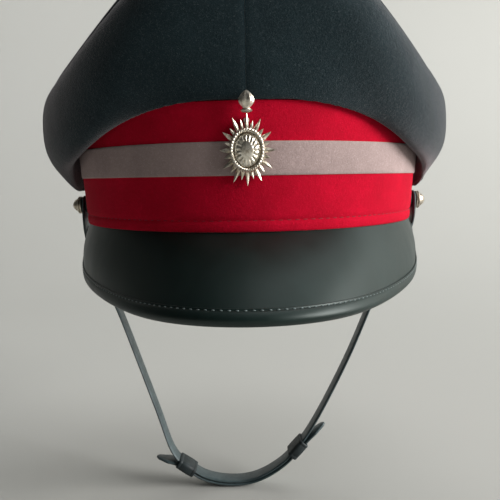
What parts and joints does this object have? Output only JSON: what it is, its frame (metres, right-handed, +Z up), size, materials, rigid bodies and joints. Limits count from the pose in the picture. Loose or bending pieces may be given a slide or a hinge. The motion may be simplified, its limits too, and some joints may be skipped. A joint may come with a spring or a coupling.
{
  "type": "military peaked cap",
  "caption": "Military peaked cap: soft dark wool crown, stiff red band with a grey stripe, glossy peak, hanging chin strap with sliding keepers, side buttons and a plain sunburst badge.",
  "frame": {"origin": "centre of the head opening, at the band's lower edge", "axes": "+Z up, -Y towards the peak (the wearer's front), +X towards the wearer's left"},
  "size_m": [0.2066, 0.2634, 0.2653],
  "materials": {
    "scarlet_cloth": "scarlet wool cloth, softly napped",
    "grey_felt": "grey felted stripe",
    "navy_wool": "midnight-blue melton wool",
    "buckram": "stiff glued canvas",
    "lining_cloth": "dark satin lining",
    "clear_film": "thin clear protective film",
    "reed_cord": "flexible edge cord",
    "stay_strip": "flat flexible stiffener",
    "spring_wire": "spring steel hoop",
    "tan_leather": "smooth tan sweatband leather",
    "black_leather": "matt black leather",
    "washer_leather": "black leather",
    "strap_leather": "polished slate-black strap leather",
    "patent_leather": "black patent finish, high gloss",
    "fibreboard": "pressed fibreboard",
    "white_metal": "bright white metal, softly polished",
    "brass_wire": "drawn wire"
  },
  "bodies": {
    "cap": {"band_cloth": "scarlet_cloth", "band_foundation": "buckram", "band_stripe": "grey_felt", "sweatband": "tan_leather", "sweatband_reed": "reed_cord", "quarter_rear_left": "navy_wool", "quarter_rear_right": "navy_wool", "quarter_front_right": "navy_wool", "quarter_front_left": "navy_wool", "crown_top_panel": "navy_wool", "crown_welt": "navy_wool", "crown_grommet": "spring_wire", "front_interlining": "buckram", "front_stay": "stay_strip", "lining_side": "lining_cloth", "lining_tip": "lining_cloth", "sweat_patch": "clear_film", "peak_cover": "patent_leather", "peak_core": "fibreboard", "peak_lining": "black_leather", "peak_binding": "patent_leather", "button_dome_left": "white_metal", "button_dome_right": "white_metal", "button_back_left": "white_metal", "button_back_right": "white_metal", "button_washer_left": "washer_leather", "button_washer_right": "washer_leather", "button_pin_left": "brass_wire", "button_pin_right": "brass_wire", "badge_pin": "brass_wire", "badge_rays": "white_metal", "badge_rope_ring": "white_metal", "badge_boss": "white_metal", "badge_finial": "white_metal", "badge_lugs": "white_metal"},
    "chinstrap": {"chinstrap_inner": "strap_leather", "chinstrap_outer": "strap_leather"},
    "keeper_left": {"keeper_left": "black_leather"},
    "keeper_right": {"keeper_right": "black_leather"}
  },
  "joints": [
    {"name": "chinstrap_swing", "type": "hinge", "parent": "cap", "child": "chinstrap", "pos_m": [0, -0.006, 0.008], "axis": [1, 0, 0], "range_deg": [-5, 50]},
    {"name": "keeper_left_slide", "type": "slide", "parent": "chinstrap", "child": "keeper_left", "axis": [0.829, 0, -0.5592], "range_m": [0, 0.0045]},
    {"name": "keeper_right_slide", "type": "slide", "parent": "chinstrap", "child": "keeper_right", "axis": [-0.6691, 0, -0.7431], "range_m": [-0.001, 0.0045]}
  ]
}
